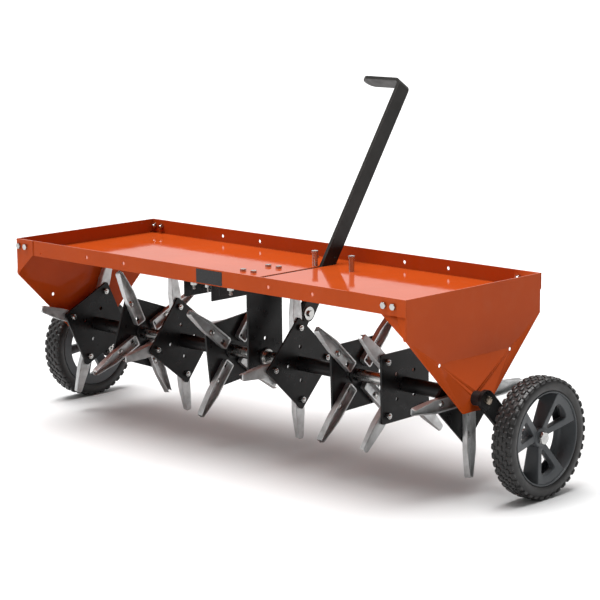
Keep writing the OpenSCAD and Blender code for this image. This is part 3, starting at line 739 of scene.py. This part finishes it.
def spoke(bm, place, k, reach, hub_front, front, barrel_back, hub_r):
    """One wedge spoke: deep side walls, two bars that meet at the hub, and an arched window."""
    swing = Matrix.Rotation(FIRST_SPOKE + TAU * k / SPOKES, 4, "Z")
    edge = arc(reach + 0.6 * MM, -SPOKE_SPREAD, SPOKE_SPREAD, 18)
    inner_y = 12.5 * MM
    start = 17 * MM
    outline = [Vector((start, -inner_y))] + edge + [Vector((start, inner_y))]
    slope = math.atan2(edge[-1].y - inner_y, edge[-1].x - start)
    bar = 13 * MM
    tip = start - (inner_y - bar / math.cos(slope)) / math.tan(slope) + 3 * MM
    window_out = reach - 17 * MM
    corner = (window_out - tip) * math.tan(slope)
    window = rounded([Vector((tip, 0)), Vector((window_out - 2 * MM, -corner)),
                      Vector((window_out + 2 * MM, 0)), Vector((window_out - 2 * MM, corner))],
                     [3 * MM, 11 * MM, 30 * MM, 11 * MM], 7)

    def surface(depth):
        def height(q):
            t = min(1.0, max(0.0, (q.length - hub_r) / (reach - hub_r)))
            face = hub_front - 1.5 * MM + (front - 3 * MM - hub_front + 1.5 * MM) * t ** 1.3
            return face - depth
        return height

    base = barrel_back + 0.2 * MM
    face = [(0.0, surface(2.2 * MM)), (0.5 * MM, surface(0.8 * MM)), (1.7 * MM, surface(0.0))]
    plate_between(bm, place @ swing, outline, window,
                  [(0.6 * MM, lambda q: base), (0.0, lambda q: base + 0.8 * MM)] + face,
                  [(0.6 * MM, surface(WINDOW_DEPTH)), (0.0, surface(WINDOW_DEPTH - 0.8 * MM))] + face)


# ---------- gangs ----------

# Around a tine's holes the cut edges stay crisp. PINCH is how far the tip's walls are pressed in, 0 to 1.
HOLE_END_R = 46 * MM
HOLE_HALF = 8.5 * MM
BOLT_CIRCLE_R = 81 * MM
BOLT_ZONE = 5 * MM
PINCH_START_R = 120 * MM
PINCH_LENGTH = 45 * MM
PINCH = 0.42


def tines(n):
    """The eight tines of a gang: folded channels with the tip pressed in towards a tube."""
    node = "gang_%d_tines" % n
    axle = centre("axle_shaft")
    mid_x = centre("gang_%d_hub_tube" % n).x
    bm = cad_copy(node)
    low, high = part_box(node)
    plate = min(v.co.x - mid_x for v in bm.verts if v.co.x > mid_x)
    tall = (high.x - low.x) / 2 - plate
    web = sorted({round(abs(v.co.x - mid_x) - plate, 5) for v in bm.verts})[1]

    def level(co):
        return abs(co.x - mid_x) - plate

    def radius(co):
        return math.hypot(co.y - axle.y, co.z - axle.z)

    def web_outside(a, b):
        flat = level(a) < 0.1 * MM and level(b) < 0.1 * MM
        hole = all(radius(c) < HOLE_END_R and offset(c) < HOLE_HALF for c in (a, b))
        bolt = all(abs(radius(c) - BOLT_CIRCLE_R) < BOLT_ZONE and offset(c) < BOLT_ZONE for c in (a, b))
        return flat and not hole and not bolt

    def angle_off(co):
        """Angle of a point from the middle line of its own tine."""
        a = math.atan2(co.z - axle.z, co.y - axle.y)
        base = lines[1 if co.x > mid_x else -1]
        return (a - base + TAU / 8) % (TAU / 4) - TAU / 8

    def offset(co):
        """Distance of a point from the middle line of its own tine."""
        return radius(co) * abs(math.sin(angle_off(co)))

    lines = {}
    for points in islands("gang_%d_tine_bolts" % n):
        c = middle(points)
        lines[1 if c.x > mid_x else -1] = math.atan2(c.z - axle.z, c.y - axle.y) % (TAU / 4)
    round_over(bm, 3.0 * MM, 4, web_outside)
    round_over(bm, 0.45 * MM, 2, sharper=55)
    for v in bm.verts:
        up = level(v.co)
        r = radius(v.co)
        if up < web * 1.2 or r < PINCH_START_R:
            continue
        off = angle_off(v.co)
        along = min(1.0, (r - PINCH_START_R) / PINCH_LENGTH)
        lean = PINCH * along * (up - web) / (tall - web)
        pressed = math.asin(math.sin(off) * (1 - lean))
        turn = Matrix.Rotation(pressed - off, 3, "X")
        hub = Vector((v.co.x, axle.y, axle.z))
        v.co = hub + turn @ (v.co - hub)
    return piece("gang_%d_tine_set" % n, bm, TINE, "gang_%d" % n, "tine_steel", node, smooth=45)


def gang(n):
    """One gang of tines on its tube."""
    name = "gang_%d" % n
    softened(name + "_hub_tube", 0.5 * MM, BLACK, name, "black_paint")
    softened(name + "_plates", 0.6 * MM, BLACK, name, "black_paint")
    rings(name + "_bushings", name, 0, NYLON, "bushing_nylon")
    tines(n)
    bolts(name + "_tine_bolts", name, 0, plain=0.5, round_head=True)
    nuts(name + "_tine_nuts", name, 0)


# ---------- build ----------

folded_tray()
folded_end("end_panel_left")
folded_end("end_panel_right")
rings("end_bushings", "frame", 0, NYLON, "black_plastic")
bolts("tray_end_bolts", "frame", 1, plain=0.2)
nuts("tray_end_nuts", "frame", 1)
softened("center_hanger", 0.6 * MM, BLACK, "frame", "black_paint")
rings("hanger_bushing", "frame", 0, NYLON, "black_plastic")
bolts("floor_bolts", "frame", 2, plain=0.3)
nuts("floor_nuts", "frame", 2)
posts()
softened("handle_stop", 0.6 * MM, BLACK, "frame", "black_paint")
label()
for rail in ("drawbar_rail_left", "drawbar_rail_right"):
    softened(rail, 0.8 * MM, BLACK, "frame", "black_paint")
for hitch in ("hitch_plate_upper", "hitch_plate_lower"):
    softened(hitch, 0.8 * MM, BLACK, "frame", "black_paint")
bolts("hitch_bolts", "frame", 2, plain=0.4)
nuts("hitch_nuts", "frame", 2)

softened("axle_shaft", 0.6 * MM, ZINC, "lift", "zinc_plate")
rings("axle_spacers", "lift", 0, soft=0.12)
for arm in ("wheel_arm_left", "wheel_arm_right"):
    softened(arm, 0.9 * MM, BLACK, "lift", "black_paint", 3)
bolts("arm_bolts", "lift", 0, plain=0.3, material=AGED)
softened("lift_lever", 0.3 * MM, BLACK, "lift", "black_paint")
softened("lift_handle", 0.9 * MM, HANDLE, "lift", "black_paint", 3)
bolts("handle_bolts", "lift", 0, plain=0.5)
nuts("handle_nuts", "lift", 0)
rings("handle_washers", "lift", 0)
rings("wheel_sleeves", "lift", 0)
bolts("wheel_bolts", "lift", 0, plain=0.7)
nuts("wheel_nuts", "lift", 0)
for end in ("left", "right"):
    tyre(end)
    rim(end)
for number in (1, 2, 3, 4):
    gang(number)


# ---------- studio ----------

# The world fades from FRONT_GLOW to BACK_GLOW along BACK_OF_PART, which points away from the camera.
FLOOR_HALF = 60.0
BACK_OF_PART = (-0.87, 0.49, 0.0)
FADE_FROM, FADE_TO = -0.45, 0.75
FRONT_GLOW, BACK_GLOW = 0.18, 1.0
SUN_STRENGTH = 4.8
SUN_WIDTH = math.radians(50)
SUN_TILT = (math.radians(4), math.radians(-6), 0)
CAMERA_AT = (3.273, -3.497, 1.176)
YAW, PITCH, ROLL = math.radians(44.59), math.radians(-10.40), math.radians(-0.57)
LENS_MM = 125.65
SENSOR_MM = 36


def studio():
    """Plain pale floor, white all round as seen, lit white from behind the part and grey from its front."""
    mesh = bpy.data.meshes.new("floor")
    corners = [(x * FLOOR_HALF, y * FLOOR_HALF, 0) for x, y in ((-1, -1), (1, -1), (1, 1), (-1, 1))]
    mesh.from_pydata(corners, [], [(0, 1, 2, 3)])
    floor = bpy.data.objects.new("floor", mesh)
    mesh.materials.append(pale_floor())
    bpy.context.scene.collection.objects.link(floor)
    world = bpy.data.worlds.new("studio")
    world.use_nodes = True
    tree = world.node_tree
    towards = tree.nodes.new("ShaderNodeVectorMath")
    towards.operation = "DOT_PRODUCT"
    towards.inputs[1].default_value = BACK_OF_PART
    tree.links.new(tree.nodes.new("ShaderNodeTexCoord").outputs["Generated"], towards.inputs[0])
    fade = tree.nodes.new("ShaderNodeMapRange")
    fade.interpolation_type = "SMOOTHSTEP"
    for socket, number in (("From Min", FADE_FROM), ("From Max", FADE_TO),
                           ("To Min", FRONT_GLOW), ("To Max", BACK_GLOW)):
        fade.inputs[socket].default_value = number
    tree.links.new(towards.outputs["Value"], fade.inputs["Value"])
    seen = tree.nodes.new("ShaderNodeMath")
    seen.operation = "MAXIMUM"
    tree.links.new(fade.outputs["Result"], seen.inputs[0])
    tree.links.new(tree.nodes.new("ShaderNodeLightPath").outputs["Is Camera Ray"], seen.inputs[1])
    backdrop = tree.nodes["Background"]
    backdrop.inputs["Color"].default_value = (1, 1, 1, 1)
    tree.links.new(seen.outputs["Value"], backdrop.inputs["Strength"])
    bpy.context.scene.world = world
    data = bpy.data.lights.new("overhead", "SUN")
    data.energy = SUN_STRENGTH
    data.angle = SUN_WIDTH
    lamp = bpy.data.objects.new("overhead", data)
    lamp.rotation_euler = SUN_TILT
    bpy.context.scene.collection.objects.link(lamp)


def camera():
    """The machine seen from its right end and its rear side, a little above the tray."""
    data = bpy.data.cameras.new("camera")
    data.lens = LENS_MM
    data.sensor_width = SENSOR_MM
    data.clip_end = 200
    obj = bpy.data.objects.new("camera", data)
    forward = Vector((-math.sin(YAW) * math.cos(PITCH), math.cos(YAW) * math.cos(PITCH), math.sin(PITCH)))
    right = forward.cross(Vector((0, 0, 1))).normalized()
    up = right.cross(forward)
    turn = Matrix((right, up, -forward)).transposed().to_4x4() @ Matrix.Rotation(ROLL, 4, "Z")
    obj.matrix_world = Matrix.Translation(CAMERA_AT) @ turn
    bpy.context.scene.collection.objects.link(obj)
    bpy.context.scene.camera = obj


studio()
camera()
scene = bpy.context.scene
scene.view_settings.view_transform = "Standard"
scene.view_settings.look = "None"
